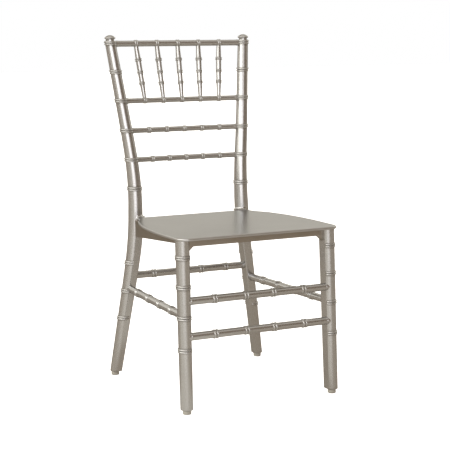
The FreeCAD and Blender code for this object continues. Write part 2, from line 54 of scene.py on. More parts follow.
# %% [markdown]
# ## From grids of points to pieces
# Nearly everything on this chair is a round section carried along a line. A curve with a bevel could
# draw that, but not the beads, the flat sides or the fillets. So a piece is held as a grid: each row
# is one closed ring of points, and the rows follow the piece from end to end. The grid is worked out
# as whole arrays, which is quick and keeps the formula in one place, and only the last step turns it
# into a mesh. A fan closes each end, so the solid has no holes.

# %% Grids and meshes
SHARP_EDGE = math.radians(38)
MIRROR = np.array([-1.0, 1.0, 1.0])


def grid_faces(rows, columns):
    """Squares between neighbouring rings, and triangles from each end ring to its own pole.
    The poles are the two points that follow the grid's rows times columns points."""
    step = np.arange(columns)
    after = (step + 1) % columns
    start = np.arange(rows - 1)[:, None] * columns
    squares = np.stack([start + step, start + after, start + columns + after,
                        start + columns + step], -1).reshape(-1, 4)
    last = (rows - 1) * columns
    pole = rows * columns
    low = np.stack([after, step, np.full(columns, pole)], -1)
    high = np.stack([last + step, last + after, np.full(columns, pole + 1)], -1)
    return squares, np.concatenate([low, high])


def shell(grid):
    """Points, squares and triangles of one closed solid, with its faces turned outwards.
    The volume is the sum of each square's corner triple product: if it is negative the solid is
    inside out, and every face is turned round."""
    rows, columns = grid.shape[:2]
    points = np.concatenate([grid.reshape(-1, 3), grid[:1].mean(1), grid[-1:].mean(1)])
    squares, triangles = grid_faces(rows, columns)
    middle = points.mean(0)
    a, b, c, d = [points[squares[:, i]] - middle for i in range(4)]
    volume = (np.cross(a, b) * c).sum() + (np.cross(a, c) * d).sum()
    if volume < 0:
        squares, triangles = squares[:, ::-1], triangles[:, ::-1]
    return points, squares, triangles


def piece(name, grid, finish, node):
    """Makes one closed object in the place of a CAD node, rides it on the chair, names its finish."""
    points, squares, triangles = shell(grid)
    mesh = bpy.data.meshes.new(name)
    mesh.from_pydata(points.tolist(), [], squares.tolist() + triangles.tolist())
    mesh.shade_smooth()
    mesh.set_sharp_from_angle(angle=SHARP_EDGE)
    mesh.materials.append(finish)
    made = bpy.data.objects.new(name, mesh)
    bpy.context.scene.collection.objects.link(made)
    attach(made, "root")
    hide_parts(node)
    print(name, len(mesh.polygons), "faces")


def both_sides(name, grid, finish, node):
    """A right-hand piece and its mirror image, where X changes sign. In both names, %s is the side."""
    piece(name % "right", grid, finish, node % "right")
    piece(name % "left", grid * MIRROR, finish, node % "left")


# %% [markdown]
# ## The turned beads
# Each knuckle is two half-round beads side by side, as a turner cuts them in one pass. They could be
# torus rings laid over the rod, but a bead that belongs to the rod's own outline leaves no seam. Its
# height over the rod is that of a half ellipse: its stand times the square root of one minus the
# squared distance from its middle, in half lengths. Rings of the grid crowd together over the beads
# and are far apart elsewhere, so the beads are crisp and the plain stretches stay light.

# %% Beads
BEAD_RINGS = 11
BEAD_MARGIN = 1.15
LEAST_STEP = 0.02 * MM


def bead_height(s, middles, half, stand):
    """Height of the beads over the rod at distances s: a half ellipse at each middle."""
    away = (s[:, None] - np.asarray(middles)[None, :]) / half
    return stand * np.sqrt(np.clip(1 - away ** 2, 0, 1)).max(1)


def stations(start, end, step, middles, half):
    """Distances for the rings of a rod: even steps, and sine-spaced ones over every bead."""
    plain = np.linspace(start, end, max(2, int(abs(end - start) / step) + 1))
    turn = np.sin(np.linspace(-math.pi / 2, math.pi / 2, BEAD_RINGS)) * half
    over = (np.asarray(middles)[:, None] + turn[None, :]).ravel()
    clear = np.abs(plain[:, None] - np.asarray(middles)[None, :]).min(1) > half * BEAD_MARGIN
    kept = np.sort(np.concatenate([plain[clear], over[(over > start) & (over < end)], [start, end]]))
    return kept[np.concatenate([[True], np.diff(kept) > LEAST_STEP])]


def pairs(middles, pitch):
    """Middles of the two beads of each knuckle: half a pitch to each side of its middle."""
    return np.sort(np.concatenate([np.asarray(middles) - pitch / 2, np.asarray(middles) + pitch / 2]))


print("a bead is", BEAD_RINGS, "rings long")


# %% [markdown]
# ## Where the posts and legs run
# The frame tells where things are: the glides give the foot of each leg, and the finials give the
# heads of the rear posts. Between them a rear post is two straight runs that meet in a knee at seat
# level. Steam bending or a mould rounds that knee. An arc could join the runs, but a parabola does it
# with one formula in the height, so every ring can stay level.

# %% Leg axes
def centre_of(node):
    """Middle of a CAD node's box."""
    low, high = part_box(node)
    return np.array((low + high) / 2)


def top_of(node):
    """Highest level of a CAD node."""
    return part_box(node)[1].z


rear_foot = centre_of("glide_rear_right")
front_foot = centre_of("glide_front_right")
plate_low, plate_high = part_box("seat_plate")
seat_top = plate_high.z
seat_bottom = plate_low.z
leg_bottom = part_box("front_leg_right")[0].z
post_top = top_of("rear_post_right")
head = centre_of("finial_right")
knee = np.array([149.5, 162.6, 460.0]) * MM
knee_run = np.array([145.0, 230.0]) * MM
FRONT_TOP_X = 202.0 * MM
FRONT_RAKE = 20.7 * MM
front_top = np.array([FRONT_TOP_X, front_foot[1] + FRONT_RAKE, seat_bottom])
print("rear foot", rear_foot, "front foot", front_foot, "seat top", seat_top, "post top", post_top)


def knee_curve(z, foot, bend, top, run):
    """Two straight lines that meet at the knee. Within a run of the knee the line bends steadily:
    it gains the change of slope times the squared distance into the run, over four runs."""
    low = (bend - foot) / knee[2]
    high = (top - bend) / (post_top - knee[2])
    rise = z - knee[2]
    inside = np.clip(run - np.abs(rise), 0, None)
    return bend + np.where(rise < 0, low, high) * rise + (high - low) * inside ** 2 / (4 * run)


def rear_axis(z):
    """Centre line of the right rear post at heights z."""
    return np.stack([knee_curve(z, rear_foot[0], knee[0], head[0], knee_run[0]),
                     knee_curve(z, rear_foot[1], knee[1], head[1], knee_run[1]), z], -1)


def rear_radius(z):
    """Radius of the rear post: widest beside the seat, slim at the head."""
    return np.interp(z / MM, [0, 445, 612, 897.5], [15.5, 19.2, 16.5, 14.2]) * MM


def front_axis(z):
    """Centre line of the right front leg at heights z."""
    share = (z / front_top[2])[..., None]
    low = np.array([front_foot[0], front_foot[1], 0.0])
    return low + (front_top - low) * share


def front_radius(z):
    """Radius of the front leg, growing from the foot to the seat."""
    return np.interp(z, [0, seat_bottom], [15.75 * MM, 17.55 * MM])


# %% [markdown]
# ## Leg sections
# Under the seat a leg isn't round all the way: its side towards the middle of the chair is flat, and
# a squared pad runs down behind (or, on a rear leg, in front of) the round part, where the aprons and
# stretchers land. Seen from the axis every direction meets the outline once, so the outline is a
# radius for each angle: the larger of circle and pad, cut off by the flat. Joining a block to a rod
# with a boolean would give the same outline and a much rougher mesh. Beads only raise the circle, so
# they stop where the pad and the flat begin, as on the real chair. The distances of the flat and of
# the pad's faces from the axis are shares of the leg's radius.

# %% Section by angle
FLAT = 0.82
PAD_OUT = 0.25
PAD_FRONT = 0.5
PAD_DEPTH = 1.20
PAD_DEPTH_FOOT = 0.95
CORNER_ROUND = 3.0 * MM
AROUND = 120


def reach_to(distance, slope):
    """Distance along each direction to a straight face at that distance from the axis."""
    return np.where(slope > 1e-6, distance / np.maximum(slope, 1e-6), 1.0)


def leg_angles():
    """Angles of the points of a ring: even ones, and the exact ends of the flat."""
    even = np.linspace(0, 2 * math.pi, AROUND, endpoint=False)
    edge = math.acos(FLAT)
    marks = [math.pi - edge, math.pi + edge, math.acos(PAD_OUT), 2 * math.pi - math.acos(PAD_OUT)]
    return np.unique(np.round(np.concatenate([even, marks]), 6))


def leg_outline(radius, stand, corner, inward, planed):
    """Radius of a leg's outline for each ring and angle. radius, stand and corner are given per
    ring: the round part's radius, its beads' height and the pad's depth in shares of the radius.
    planed is 1 for rings with pad and flat, 0 for round ones."""
    angle = leg_angles()[None, :]
    out, back = np.cos(angle), np.sin(angle) * inward
    r = radius[:, None]
    deep = (corner * radius)[:, None]
    pad = np.minimum(reach_to(PAD_OUT * r, out), reach_to(deep, back))
    pad = np.minimum(pad, reach_to(FLAT * r, -out))
    pad = np.minimum(pad, reach_to(PAD_FRONT * r, -back))
    centre_out = -FLAT * r + CORNER_ROUND
    centre_back = deep - CORNER_ROUND
    along = centre_out * out + centre_back * back
    inside = CORNER_ROUND ** 2 - (centre_out ** 2 + centre_back ** 2) + along ** 2
    rounded = along + np.sqrt(np.clip(inside, 0, None))
    x, y = pad * out, pad * back
    in_corner = (x < centre_out) & (y > centre_back)
    pad = np.where(in_corner, rounded, pad)
    round_part = (radius + stand)[:, None] + 0 * angle
    whole = np.minimum(np.maximum(round_part, pad), reach_to(FLAT * r, -out))
    return np.where(planed[:, None] > 0.5, whole, round_part)


def leg_grid(z, axis, radius, stand, corner, inward, planed):
    """Rings of a right-hand leg: level outlines set round its axis."""
    outline = leg_outline(radius(z), stand, corner, inward, planed)
    angle = leg_angles()
    flat = np.stack([outline * np.cos(angle), outline * np.sin(angle), 0 * outline], -1)
    return axis(z)[:, None, :] + flat


def end_round(z, end, size):
    """How much a leg draws in near its end, a quarter circle of the given size."""
    near = np.clip(1 - np.abs(z - end) / size, 0, 1)
    return size * (1 - np.sqrt(1 - near ** 2))


print("a leg's outline has", len(leg_angles()), "points")


# %% [markdown]
# ## Finishes
# The chair is moulded and then sprayed with a warm silver metallic lacquer. Such a coat has tiny
# flakes that catch the light, an orange-peel waviness of a few millimetres, and slow changes of tone
# where the spray was thicker. Hands rub it bright along the edges. The creases beside the beads get
# painted shade: the coat's colour is darkened there, where the real chair lies in shadow. An image
# could carry all this if every piece were unwrapped. Noise on the object's own coordinates works on
# any shape instead, and Pointiness finds edges and creases in the mesh: it is 0.5 where a surface is
# flat, more on an edge and less in a crease.

# %% Shader helpers
def node_tree(name):
    """A fresh material with its shader and object coordinates."""
    material = bpy.data.materials.new(name)
    material.use_nodes = True
    tree = material.node_tree
    shader = tree.nodes["Principled BSDF"]
    place = tree.nodes.new("ShaderNodeTexCoord")
    return material, tree, shader, place.outputs["Object"]


def noise(tree, where, scale, detail=2.0, roughness=0.5):
    """Noise of that many cells per metre."""
    made = tree.nodes.new("ShaderNodeTexNoise")
    made.inputs["Scale"].default_value = scale
    made.inputs["Detail"].default_value = detail
    made.inputs["Roughness"].default_value = roughness
    tree.links.new(where, made.inputs["Vector"])
    return made.outputs["Fac"]


def remap(tree, value, low, high, to_low, to_high):
    """Straight mapping of a value from one range to another."""
    made = tree.nodes.new("ShaderNodeMapRange")
    for key, number in (("From Min", low), ("From Max", high), ("To Min", to_low), ("To Max", to_high)):
        made.inputs[key].default_value = number
    tree.links.new(value, made.inputs["Value"])
    return made.outputs["Result"]


def height_in(tree, where):
    """Z of a link that holds coordinates or a direction."""
    split = tree.nodes.new("ShaderNodeSeparateXYZ")
    tree.links.new(where, split.inputs["Vector"])
    return split.outputs["Z"]


def mixed(tree, factor, first, second, blend="MIX"):
    """Colour between two colours or links, or another way to blend the second into the first."""
    made = tree.nodes.new("ShaderNodeMix")
    made.data_type = "RGBA"
    made.blend_type = blend
    tree.links.new(factor, made.inputs["Factor"])
    for socket, value in ((made.inputs[6], first), (made.inputs[7], second)):
        if isinstance(value, bpy.types.NodeSocket):
            tree.links.new(value, socket)
        else:
            socket.default_value = (*value, 1.0)
    return made.outputs[2]


def bumped(tree, shader, height, strength, distance):
    """Lets a height link tilt the surface. The distance is the depth of the relief in metres."""
    bump = tree.nodes.new("ShaderNodeBump")
    bump.inputs["Strength"].default_value = strength
    bump.inputs["Distance"].default_value = distance
    tree.links.new(height, bump.inputs["Height"])
    tree.links.new(bump.outputs["Normal"], shader.inputs["Normal"])


print("scene colours are shown with", bpy.context.scene.view_settings.view_transform)

# %% [markdown]
# ## Silver lacquer
# The legs, rods and seat have the same coat. At a low angle a metallic coat shows its grazing colour,
# and the seat is seen almost along its surface, so it has a slightly brighter one. The boards and
# gussets under the seat get a darker, browner copy of the coat: painted shade for the dim place under
# the seat. One function makes all of them, because four copies of a material would drift apart. The
# noises are given in cells per metre, so 1500 cells are flakes of two thirds of a millimetre.

# %% Silver lacquer
COAT_DARK = (0.635, 0.632, 0.630)
COAT_LIGHT = (0.665, 0.662, 0.660)
COAT_EDGE = (0.82, 0.81, 0.79)
# The crease colour below is painted shade, mixed into the creases beside the beads.
COAT_CREASE_PAINTED_SHADE = (0.16, 0.145, 0.12)
# The two under-seat colours are painted shade: a darker, browner coat for the boards in the seat's
# shadow.
SHADED_UNDER_DARK = (0.43, 0.385, 0.335)
SHADED_UNDER_LIGHT = (0.46, 0.415, 0.365)
COAT_GRAZING = (0.50, 0.49, 0.48)
SEAT_GRAZING = (0.53, 0.535, 0.535)
SPRAY_CELLS, CLOUD_CELLS, PEEL_CELLS, FLAKE_CELLS = 9.0, 40.0, 260.0, 1500.0
EDGE_FROM, EDGE_FULL = 0.52, 0.60
# The crease values set where the painted shade starts, where it is full, and how strong it is.
SHADE_CREASE_FULL, SHADE_CREASE_FROM, SHADE_CREASE_SHARE = 0.40, 0.48, 0.85
PEEL_DEPTH = 0.1 * MM


def silver_coat(name, rough, wear, dark=COAT_DARK, light=COAT_LIGHT, grazing=COAT_GRAZING):
    """Warm silver lacquer: slow changes of tone, flakes, rubbed edges, painted shade in the creases,
    orange peel.
    """
    material, tree, shader, where = node_tree(name)
    slow = noise(tree, where, SPRAY_CELLS, 3.0)
    flakes = noise(tree, where, FLAKE_CELLS, 1.0)
    tone = mixed(tree, remap(tree, slow, 0.3, 0.7, 0.0, 1.0), dark, light)
    sparkle = remap(tree, flakes, 0.60, 0.78, 0.0, 0.06)
    tone = mixed(tree, sparkle, tone, COAT_EDGE)
    shape = tree.nodes.new("ShaderNodeNewGeometry")
    edge = remap(tree, shape.outputs["Pointiness"], EDGE_FROM, EDGE_FULL, 0.0, wear)
    tone = mixed(tree, edge, tone, COAT_EDGE)
    # Painted shade: where Pointiness falls below flat, the coat's colour is darkened towards the crease
    # colour.
    crease_shade = remap(tree, shape.outputs["Pointiness"], SHADE_CREASE_FULL, SHADE_CREASE_FROM, SHADE_CREASE_SHARE, 0.0)
    tone = mixed(tree, crease_shade, tone, COAT_CREASE_PAINTED_SHADE)
    tree.links.new(tone, shader.inputs["Base Color"])
    shader.inputs["Metallic"].default_value = 0.9
    shader.inputs["Specular Tint"].default_value = (*grazing, 1.0)
    cloudy = noise(tree, where, CLOUD_CELLS)
    tree.links.new(remap(tree, cloudy, 0.3, 0.7, rough - 0.01, rough + 0.01), shader.inputs["Roughness"])
    shader.inputs["Coat Weight"].default_value = 0.12
    shader.inputs["Coat Roughness"].default_value = 0.2
    peel = noise(tree, where, PEEL_CELLS)
    bumped(tree, shader, peel, 0.02, PEEL_DEPTH)
    return material


frame_coat = silver_coat("silver_coat", 0.25, 0.5)
rod_coat = silver_coat("silver_coat_rods", 0.25, 0.5)
seat_coat = silver_coat("silver_coat_seat", 0.30, 1.0, grazing=SEAT_GRAZING)
# The coat for the boards and gussets is darkened: painted shade for their place under the seat.
shaded_under_coat = silver_coat("silver_coat_under_painted_shade", 0.32, 0.2, SHADED_UNDER_DARK, SHADED_UNDER_LIGHT)
print("coats", [coat.name for coat in (frame_coat, rod_coat, seat_coat, shaded_under_coat)])

# %% [markdown]
# ## Nylon and zinc
# The foot pads are bare nylon, which scuffs and takes up dirt near the floor. The screws are plated
# with zinc and keep fine marks from turning. Both need only a noise for their tone and relief.

# %% Nylon and zinc
PAD_PALE, PAD_WHITE, PAD_DIRT = (0.50, 0.475, 0.42), (0.62, 0.60, 0.55), (0.24, 0.225, 0.20)
DIRT_HEIGHT = 6.0 * MM
SCUFF_CELLS, SCUFF_DEPTH = 420.0, 0.3 * MM
MARK_CELLS, MARK_DEPTH = 900.0, 0.1 * MM
ZINC_DARK, ZINC_LIGHT = (0.36, 0.36, 0.37), (0.55, 0.55, 0.56)


def glide_plastic():
    """Pale nylon foot pads, scuffed and a little dirty towards the floor."""
    material, tree, shader, where = node_tree("glide_nylon")
    low = remap(tree, height_in(tree, where), 0.0, DIRT_HEIGHT, 1.0, 0.0)
    scuffs = noise(tree, where, SCUFF_CELLS, 4.0, 0.7)
    tone = mixed(tree, remap(tree, scuffs, 0.35, 0.7, 0.0, 1.0), PAD_PALE, PAD_WHITE)
    tone = mixed(tree, remap(tree, low, 0.0, 1.0, 0.0, 0.45), tone, PAD_DIRT)
    tree.links.new(tone, shader.inputs["Base Color"])
    tree.links.new(remap(tree, scuffs, 0.3, 0.7, 0.42, 0.62), shader.inputs["Roughness"])
    bumped(tree, shader, scuffs, 0.15, SCUFF_DEPTH)
    return material


def screw_steel():
    """Zinc-plated steel with fine turning marks."""
    material, tree, shader, where = node_tree("screw_zinc")
    marks = noise(tree, where, MARK_CELLS)
    tone = mixed(tree, marks, ZINC_DARK, ZINC_LIGHT)
    tree.links.new(tone, shader.inputs["Base Color"])
    shader.inputs["Metallic"].default_value = 1.0
    tree.links.new(remap(tree, marks, 0.3, 0.7, 0.25, 0.45), shader.inputs["Roughness"])
    bumped(tree, shader, marks, 0.2, MARK_DEPTH)
    return material


glide_finish = glide_plastic()
screw_finish = screw_steel()
print("bare finishes", glide_finish.name, screw_finish.name)

# %% [markdown]
# ## Rear posts
# Each rear post is one long bent piece, from its foot pad to the collar under the finial. Its rings
# sit at the rails and halfway between the top two. Below the seat three more show only on the
# round outside. Rings could be set by eye, but the heights of the rails come from the frame, so rings
# and rails always agree. Where the post passes the seat, a moulded fillet joins the two. It is made by
# moving the post's own points outwards, so there is no seam to hide.

# %% Fillet beside the seat
FILLET = 7.0 * MM
FILLET_FROM, FILLET_TO = math.radians(163), math.radians(272)
FILLET_FADE = math.radians(14)
FILLET_SHARES = np.array([0.0, 0.04, 0.12, 0.24, 0.4, 0.6, 0.8, 1.0])


def seat_fillet(z):
    """How far each point of a rear post moves outwards to meet the seat in a hollow curve.
    The curve is a quarter circle standing on the seat. It only runs round the side of the post
    where there is seat, and fades out at both ends."""
    lift = (z - seat_top) / FILLET
    hollow = np.where(lift >= 0, 1 - np.sqrt(np.clip(1 - (1 - np.clip(lift, 0, 1)) ** 2, 0, 1)),
                      np.clip(1 + (z - seat_top) / (seat_top - seat_bottom), 0, 1))
    angle = leg_angles()
    near = np.minimum(angle - FILLET_FROM, FILLET_TO - angle) / FILLET_FADE
    share = np.clip(0.5 + near / 2, 0, 1)
    ease = share * share * (3 - 2 * share)
    size = FILLET * hollow[:, None] * ease[None, :]
    return np.stack([size * np.cos(angle), size * np.sin(angle), 0 * size], -1)


print("fillet of", round(FILLET / MM, 1), "mm beside the seat")

# %% Rear posts
LEG_STEP = 6.0 * MM
RING_HALF = 2.6 * MM
RING_PITCH = 5.5 * MM
RING_STAND = 2.5 * MM
RING_OVER_RAIL = 1.5 * MM
END_ROUND = 1.2 * MM
ROUND_SHARES = np.array([0.08, 0.3, 0.6, 1.0])
UNDER_SEAT = 0.2 * MM
rail_heights = {name: centre_of(name)[2] for name in
                ("top_rail", "spindle_rail", "ladder_rung_upper", "ladder_rung_lower")}
rail_z = np.array(list(rail_heights.values())) + RING_OVER_RAIL
upper_rings = np.concatenate([rail_z, [(rail_z[0] + rail_z[1]) / 2, 2 * rail_z[3] - rail_z[2]]])
lower_rings = np.array([309.0, 233.0, 159.0]) * MM
post_beads = pairs(np.concatenate([upper_rings, lower_rings]), RING_PITCH)
z = stations(leg_bottom, post_top, LEG_STEP, post_beads, RING_HALF)
z = np.sort(np.concatenate([z, leg_bottom + END_ROUND * ROUND_SHARES, [seat_bottom + UNDER_SEAT],
                            seat_top + FILLET * FILLET_SHARES]))
stand = bead_height(z, post_beads, RING_HALF, RING_STAND) - end_round(z, leg_bottom, END_ROUND)
corner = np.interp(z, [0, seat_bottom], [PAD_DEPTH_FOOT, PAD_DEPTH])
post = leg_grid(z, rear_axis, rear_radius, stand, corner, -1, (z <= seat_bottom) * 1.0)
both_sides("post_%s", post + seat_fillet(z), frame_coat, "rear_post_%s")

# %% [markdown]
# ## Front legs
# The front legs are straight and a little tapered, with four rings. They have the rear posts' section,
# so the same function carries it along a straight axis. Their pad faces the back, where the side
# stretchers land.

# %% Front legs
LEG_IN_SEAT = 2.0 * MM
front_rings = np.array([382.0, 311.0, 236.0, 157.0]) * MM
front_beads = pairs(front_rings, RING_PITCH)
z = stations(leg_bottom, seat_bottom + LEG_IN_SEAT, LEG_STEP, front_beads, RING_HALF)
z = np.sort(np.concatenate([z, leg_bottom + END_ROUND * ROUND_SHARES]))
stand = bead_height(z, front_beads, RING_HALF, RING_STAND) - end_round(z, leg_bottom, END_ROUND)
leg = leg_grid(z, front_axis, front_radius, stand, PAD_DEPTH + 0 * z, 1, 1.0 + 0 * z)
both_sides("leg_%s", leg, frame_coat, "front_leg_%s")

# %% [markdown]
# ## Round rods along a path
# Rails, stretchers and spindles are all the same idea: circles set square to a line, with the radius
# given for each ring. A turner would cut them on a lathe; here the circle's own directions come from
# the line's direction and one fixed direction across it, so a rod may bow and never twists.

# %% Rods
ROD_SIDES = 40
UPRIGHT = np.array([0.0, 0.0, 1.0])


def unit(v):
    """Vectors scaled to length one."""
    return v / np.linalg.norm(v, axis=-1, keepdims=True)


def rod(points, radius, across):
    """Rings round a line: centre plus radius times cosine and sine of the two directions across."""
    along = unit(np.gradient(points, axis=0))
    side = unit(np.cross(along, across))
    top = np.cross(side, along)
    turn = np.linspace(0, 2 * math.pi, ROD_SIDES, endpoint=False)
    ring = np.cos(turn)[None, :, None] * side[:, None] + np.sin(turn)[None, :, None] * top[:, None]
    return points[:, None, :] + ring * radius[:, None, None]


def flare(s, start, end, size, run):
    """How much a rod widens into its hosts: a hollow curve that dies out one run from each end."""
    clear = np.minimum(s - start, end - s)
    near = np.clip(1 - clear / run, 0, 1)
    sunk = np.clip(-clear / (2 * size), 0, 1)
    return size * near ** 2 * (1 - sunk)


print("a rod's ring has", ROD_SIDES, "points")

# %% [markdown]
# ## Rails of the back
# Four thin rails join the posts. They bow backwards a little, to fit the sitter's back, so their
# centre line is a shallow parabola: a straight rod bent by a modifier would do too, but the spindles
# need the same formula to find the rails. Each rail has five knuckles, which fan out with the posts,
# so that on the upper two the spindles land exactly on them.

# %% Back rails
BOW = 6.0 * MM
FAN_TOP = 0.627 / 2
FAN_LOW = 0.612 / 2
RAIL_HALF = 2.5 * MM
RAIL_PITCH = 5.2 * MM
RAIL_STAND = 1.7 * MM
RAIL_FLARE = 1.2 * MM
RAIL_FLARE_RUN = 4.0 * MM
RAIL_STEP = 5.0 * MM
IN_POST = 8.0 * MM
fan = np.arange(-2, 3)


def rod_radius(node, stand):
    """Plain radius of a level rod: half the height of its box, less the beads."""
    low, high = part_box(node)
    return (high.z - low.z) / 2 - stand


def half_width(height):
    """Half the distance between the posts' centres at a height."""
    return rear_axis(np.array([height]))[0, 0]


def on_rail(x, height):
    """Points of a rail: X, the posts' depth plus the bow, and the height."""
    half = half_width(height)
    depth = rear_axis(np.array([height]))[0, 1]
    return np.stack([x, depth + BOW * (1 - (x / half) ** 2), height + 0 * x], -1)


for name, height in rail_heights.items():
    half = half_width(height)
    spread = FAN_TOP if name == "top_rail" else FAN_LOW
    knuckles = pairs(fan * spread * half, RAIL_PITCH)
    x = stations(-half + IN_POST, half - IN_POST, RAIL_STEP, knuckles, RAIL_HALF)
    skin_at = rear_radius(np.array([height]))[0] + RING_STAND
    radius = rod_radius(name, RAIL_STAND) + bead_height(x, knuckles, RAIL_HALF, RAIL_STAND)
    radius = radius + flare(x, -half + skin_at, half - skin_at, RAIL_FLARE, RAIL_FLARE_RUN)
    piece(name + "_turned", rod(on_rail(x, height), radius, UPRIGHT), rod_coat, name)

# %% [markdown]
# ## Spindles
# Five spindles fan out between the two upper rails. A spindle is thin at both ends, thicker in the
# middle, and carries three knuckles. Its radii run straight between four measured ones, which is how
# a turner works too: a few sizes are set with callipers, and the rest is faired between them.

# %% Spindles
KNUCKLE_SHARES = 1 - np.array([0.287, 0.507, 0.70])
SPINDLE_HALF = 1.9 * MM
SPINDLE_PITCH = 4.2 * MM
SPINDLE_STAND = 2.1 * MM
SPINDLE_RADII = np.array([4.7, 6.7, 7.1, 5.5]) * MM
SPINDLE_STEP = 4.0 * MM
IN_RAIL = 3.0 * MM
for number, place in enumerate(fan, 1):
    low_z, high_z = rail_heights["spindle_rail"], rail_heights["top_rail"]
    low = on_rail(np.array([place * FAN_LOW * half_width(low_z)]), low_z)[0]
    high = on_rail(np.array([place * FAN_TOP * half_width(high_z)]), high_z)[0]
    length = np.linalg.norm(high - low)
    beads = pairs(KNUCKLE_SHARES * length, SPINDLE_PITCH)
    s = stations(IN_RAIL, length - IN_RAIL, SPINDLE_STEP, beads, SPINDLE_HALF)
    radius = np.interp(s / length, [0, KNUCKLE_SHARES[2], KNUCKLE_SHARES[0], 1], SPINDLE_RADII)
    radius = radius + bead_height(s, beads, SPINDLE_HALF, SPINDLE_STAND)
    line = low + (high - low) * (s / length)[:, None]
    piece("spindle_turned_%d" % number, rod(line, radius, np.array([0.0, 1.0, 0.0])),
          rod_coat, "spindle_%d" % number)

# %% [markdown]
# ## Stretchers
# Two stretchers brace the front legs, one the rear legs, and one runs along each side. Each is a
# plain rod with pairs of fat beads, and it widens softly where it grows out of a leg, as a moulded
# joint does. A bevel on the joint would need the pieces merged; a radius that grows near the leg's
# surface gives the same hollow and keeps them apart.

# %% Stretchers
STRETCHER_HALF = 3.0 * MM
STRETCHER_PITCH = 7.8 * MM
STRETCHER_STAND = 1.8 * MM
STRETCHER_STEP = 5.0 * MM
CROSS_SHARES = np.array([0.61, 0.19])
LEAD = 6.0 * MM
IN_LEG = 6.0 * MM
FLARE = 0.7 * MM
FLARE_RUN = 3.0 * MM
PAD_DEPTH_LOW = 1.05


def stretcher(name, start, end, knuckles, skin_start, skin_end):
    """A straight beaded rod between two leg centres, flared where it leaves their surfaces."""
    length = np.linalg.norm(end - start)
    beads = pairs(knuckles * length, STRETCHER_PITCH)
    s = stations(IN_LEG, length - IN_LEG, STRETCHER_STEP, beads, STRETCHER_HALF)
    near = np.linspace(-1, FLARE_RUN / MM, 10) * MM
    s = np.unique(np.concatenate([s, skin_start + near, length - skin_end - near]))
    radius = rod_radius(name, STRETCHER_STAND) + bead_height(s, beads, STRETCHER_HALF, STRETCHER_STAND)
    radius = radius + flare(s, skin_start, length - skin_end, FLARE, FLARE_RUN)
    line = start + (end - start) * (s / length)[:, None]
    piece(name + "_turned", rod(line, radius, UPRIGHT), rod_coat, name)


def on_axis(axis, height):
    """One point of a leg's centre line."""
    return axis(np.array([height]))[0]


cross = np.concatenate([0.5 - CROSS_SHARES / 2, 0.5 + CROSS_SHARES[::-1] / 2])
for name in ("front_stretcher_upper", "front_stretcher_lower", "rear_stretcher"):
    axis, radius_at = (rear_axis, rear_radius) if "rear" in name else (front_axis, front_radius)
    height = centre_of(name)[2]
    end = on_axis(axis, height) - np.array([0, 0 if "rear" in name else LEAD, 0])
    inner = FLAT * radius_at(np.array([height]))[0]
    stretcher(name, end * MIRROR, end, cross, inner, inner)

side_z = centre_of("side_stretcher_right")[2]
rear_end, front_end = on_axis(rear_axis, side_z), on_axis(front_axis, side_z)
side_knuckles = np.arange(1, 5) / 5
rear_skin = PAD_DEPTH_LOW * rear_radius(np.array([side_z]))[0]
front_skin = PAD_DEPTH * front_radius(np.array([side_z]))[0]
for hand, side in (("right", 1.0), ("left", MIRROR)):
    stretcher("side_stretcher_" + hand, rear_end * side, front_end * side, side_knuckles,
              rear_skin, front_skin)

# %% [markdown]
# ## Finials
# A finial is a mushroom cap on a short neck. It is turned about an upright line, so one profile of
# radius against height is enough: straight up the neck, a tuck under the rim, and a dome that is
# part of a sphere. Two spheres and a cylinder would leave hard joints where the profile has none. The
# dome starts just inside the sphere's edge, so its rim is blunt, and stops just short of the top, which
# a fan closes.

# %% Finials
CAP_RADIUS = 14.9 * MM
NECK_RADIUS = 11.0 * MM
CAP_DROP = 9.0 * MM
CAP_RISE = 7.4 * MM
CAP_TUCK = 3.6 * MM
RIM_LIP = 0.1 * MM
RIM_LOW = 0.4 * MM
NECK_SUNK, NECK_SHOWN = 2.0 * MM, 0.5 * MM
DOME_START = 0.97
DOME_END = 0.02
AROUND_CAP = 64


def turned_upright(profile, centre):
    """Rings about an upright line from (radius, height) pairs."""
    turn = np.linspace(0, 2 * math.pi, AROUND_CAP, endpoint=False)
    ring = np.stack([np.cos(turn), np.sin(turn), 0 * turn], -1)
    radius, height = profile[:, 0], profile[:, 1]
    return centre + ring[None] * radius[:, None, None] + UPRIGHT * height[:, None, None]


rim_height = top_of("finial_right") - post_top - CAP_DROP
sphere = (CAP_RADIUS ** 2 + CAP_RISE ** 2) / (2 * CAP_RISE)
swing = np.linspace(math.asin(CAP_RADIUS / sphere) * DOME_START, DOME_END, 22)
dome = np.stack([sphere * np.sin(swing), rim_height + CAP_RISE - sphere * (1 - np.cos(swing))], -1)
tuck = np.linspace(0, 1, 10)
under = np.stack([NECK_RADIUS + (CAP_RADIUS - NECK_RADIUS - RIM_LIP) * np.sin(tuck * math.pi / 2),
                  rim_height - CAP_TUCK + (CAP_TUCK - RIM_LOW) * tuck], -1)
neck = np.array([[NECK_RADIUS, -NECK_SUNK], [NECK_RADIUS, NECK_SHOWN]])
profile = np.concatenate([neck, under, dome])
finial = turned_upright(profile, np.array([head[0], head[1], post_top]))
both_sides("finial_cap_%s", finial, frame_coat, "finial_%s")

# %% [markdown]
# ## The seat
# The seat is one thin plate with a full rounded rim, so its edge shows as a light line over a dark
# one. Its outline could be drawn again from arcs, but the CAD plate has it already: the points that
# lie where the rim's rounding starts. The notches round the rear posts are passed over, because the
# posts stand there anyway. The points are put in order round the middle and spread evenly.

